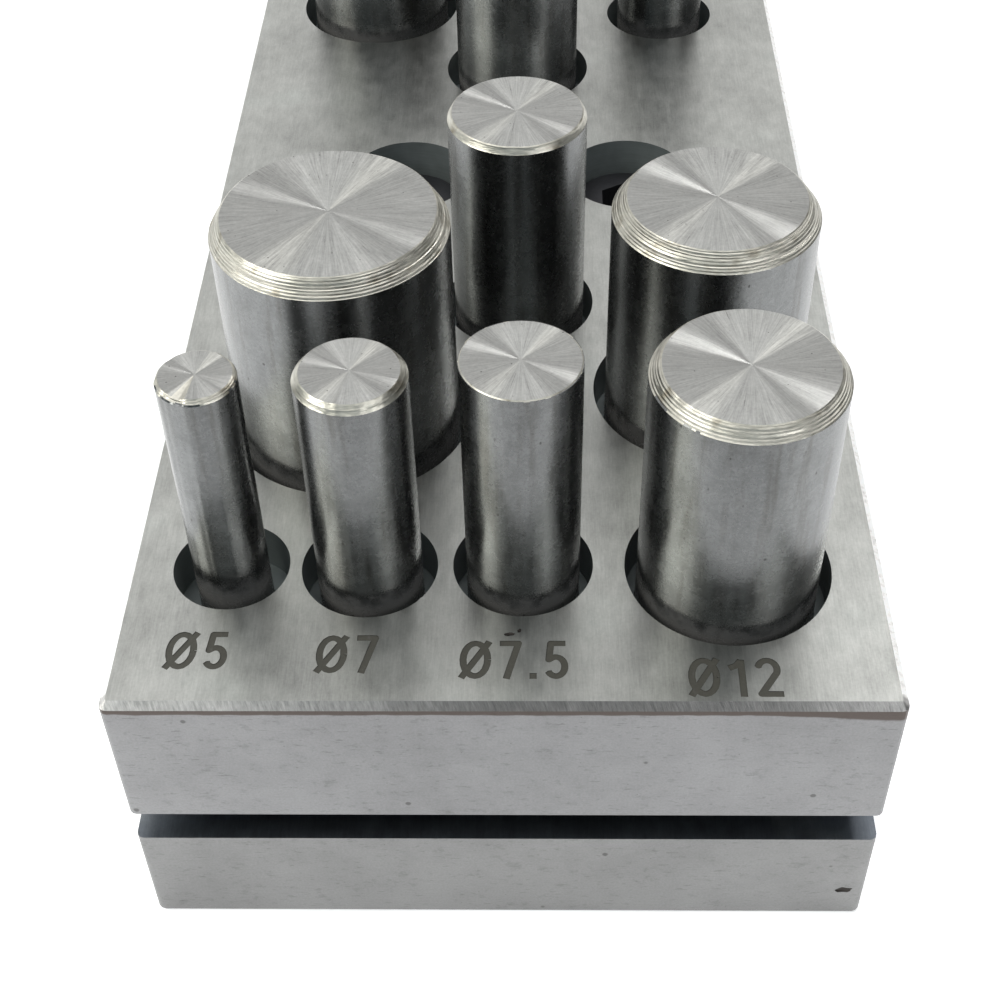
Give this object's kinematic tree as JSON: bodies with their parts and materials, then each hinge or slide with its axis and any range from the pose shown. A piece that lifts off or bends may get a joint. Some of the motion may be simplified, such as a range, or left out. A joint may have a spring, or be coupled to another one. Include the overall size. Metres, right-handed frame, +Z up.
{
  "type": "disc cutter punch and die block",
  "caption": "Ground steel guide and die block holding loose round punches in matched holes, for shearing discs and holes from sheet in the gap.",
  "frame": {"origin": "middle of the block's underside, where it rests on the bench", "axes": "+Z up along the punches, +Y along the block from its front end to its rear end, +X across it to the right"},
  "size_m": [0.05, 0.116, 0.0411],
  "materials": {
    "ground_plate_steel": "surface ground, fine grain along the block, faint staining",
    "die_plate_steel": "surface ground, satin, lightly speckled on the edges",
    "punch_steel": "centreless ground sides, turned ends with radial sheen",
    "blackened_screw_steel": "black oxide",
    "spacer_steel": "machined, satin",
    "dowel_steel": "ground, bright"
  },
  "bodies": {
    "block": {"upper_guide_plate": "ground_plate_steel", "lower_die_plate": "die_plate_steel", "clamp_screw_left": "blackened_screw_steel", "clamp_screw_right": "blackened_screw_steel", "spacer_ring_left": "spacer_steel", "spacer_ring_right": "spacer_steel", "dowel_pin_left": "dowel_steel", "dowel_pin_right": "dowel_steel"},
    "punch_dia_5": {"punch_dia_5": "punch_steel"},
    "punch_dia_7": {"punch_dia_7": "punch_steel"},
    "punch_dia_7_5": {"punch_dia_7_5": "punch_steel"},
    "punch_dia_12": {"punch_dia_12": "punch_steel"},
    "punch_dia_16": {"punch_dia_16": "punch_steel"},
    "punch_dia_14": {"punch_dia_14": "punch_steel"},
    "punch_dia_10": {"punch_dia_10": "punch_steel"},
    "punch_dia_11": {"punch_dia_11": "punch_steel"},
    "punch_dia_13": {"punch_dia_13": "punch_steel"},
    "punch_dia_8": {"punch_dia_8": "punch_steel"},
    "punch_dia_3": {"punch_dia_3": "punch_steel"},
    "punch_dia_4": {"punch_dia_4": "punch_steel"},
    "punch_dia_6": {"punch_dia_6": "punch_steel"},
    "punch_dia_9": {"punch_dia_9": "punch_steel"}
  },
  "joints": [
    {"name": "punch_dia_5_lift", "type": "slide", "parent": "block", "child": "punch_dia_5", "axis": [0, 0, 1], "range_m": [0, 0.03]},
    {"name": "punch_dia_7_lift", "type": "slide", "parent": "block", "child": "punch_dia_7", "axis": [0, 0, 1], "range_m": [0, 0.03]},
    {"name": "punch_dia_7_5_lift", "type": "slide", "parent": "block", "child": "punch_dia_7_5", "axis": [0, 0, 1], "range_m": [0, 0.03]},
    {"name": "punch_dia_12_lift", "type": "slide", "parent": "block", "child": "punch_dia_12", "axis": [0, 0, 1], "range_m": [0, 0.03]},
    {"name": "punch_dia_16_lift", "type": "slide", "parent": "block", "child": "punch_dia_16", "axis": [0, 0, 1], "range_m": [0, 0.03]},
    {"name": "punch_dia_14_lift", "type": "slide", "parent": "block", "child": "punch_dia_14", "axis": [0, 0, 1], "range_m": [0, 0.03]},
    {"name": "punch_dia_10_lift", "type": "slide", "parent": "block", "child": "punch_dia_10", "axis": [0, 0, 1], "range_m": [0, 0.03]},
    {"name": "punch_dia_11_lift", "type": "slide", "parent": "block", "child": "punch_dia_11", "axis": [0, 0, 1], "range_m": [0, 0.03]},
    {"name": "punch_dia_13_lift", "type": "slide", "parent": "block", "child": "punch_dia_13", "axis": [0, 0, 1], "range_m": [0, 0.03]},
    {"name": "punch_dia_8_lift", "type": "slide", "parent": "block", "child": "punch_dia_8", "axis": [0, 0, 1], "range_m": [0, 0.03]},
    {"name": "punch_dia_3_lift", "type": "slide", "parent": "block", "child": "punch_dia_3", "axis": [0, 0, 1], "range_m": [0, 0.03]},
    {"name": "punch_dia_4_lift", "type": "slide", "parent": "block", "child": "punch_dia_4", "axis": [0, 0, 1], "range_m": [0, 0.03]},
    {"name": "punch_dia_6_lift", "type": "slide", "parent": "block", "child": "punch_dia_6", "axis": [0, 0, 1], "range_m": [0, 0.03]},
    {"name": "punch_dia_9_lift", "type": "slide", "parent": "block", "child": "punch_dia_9", "axis": [0, 0, 1], "range_m": [0, 0.03]}
  ]
}
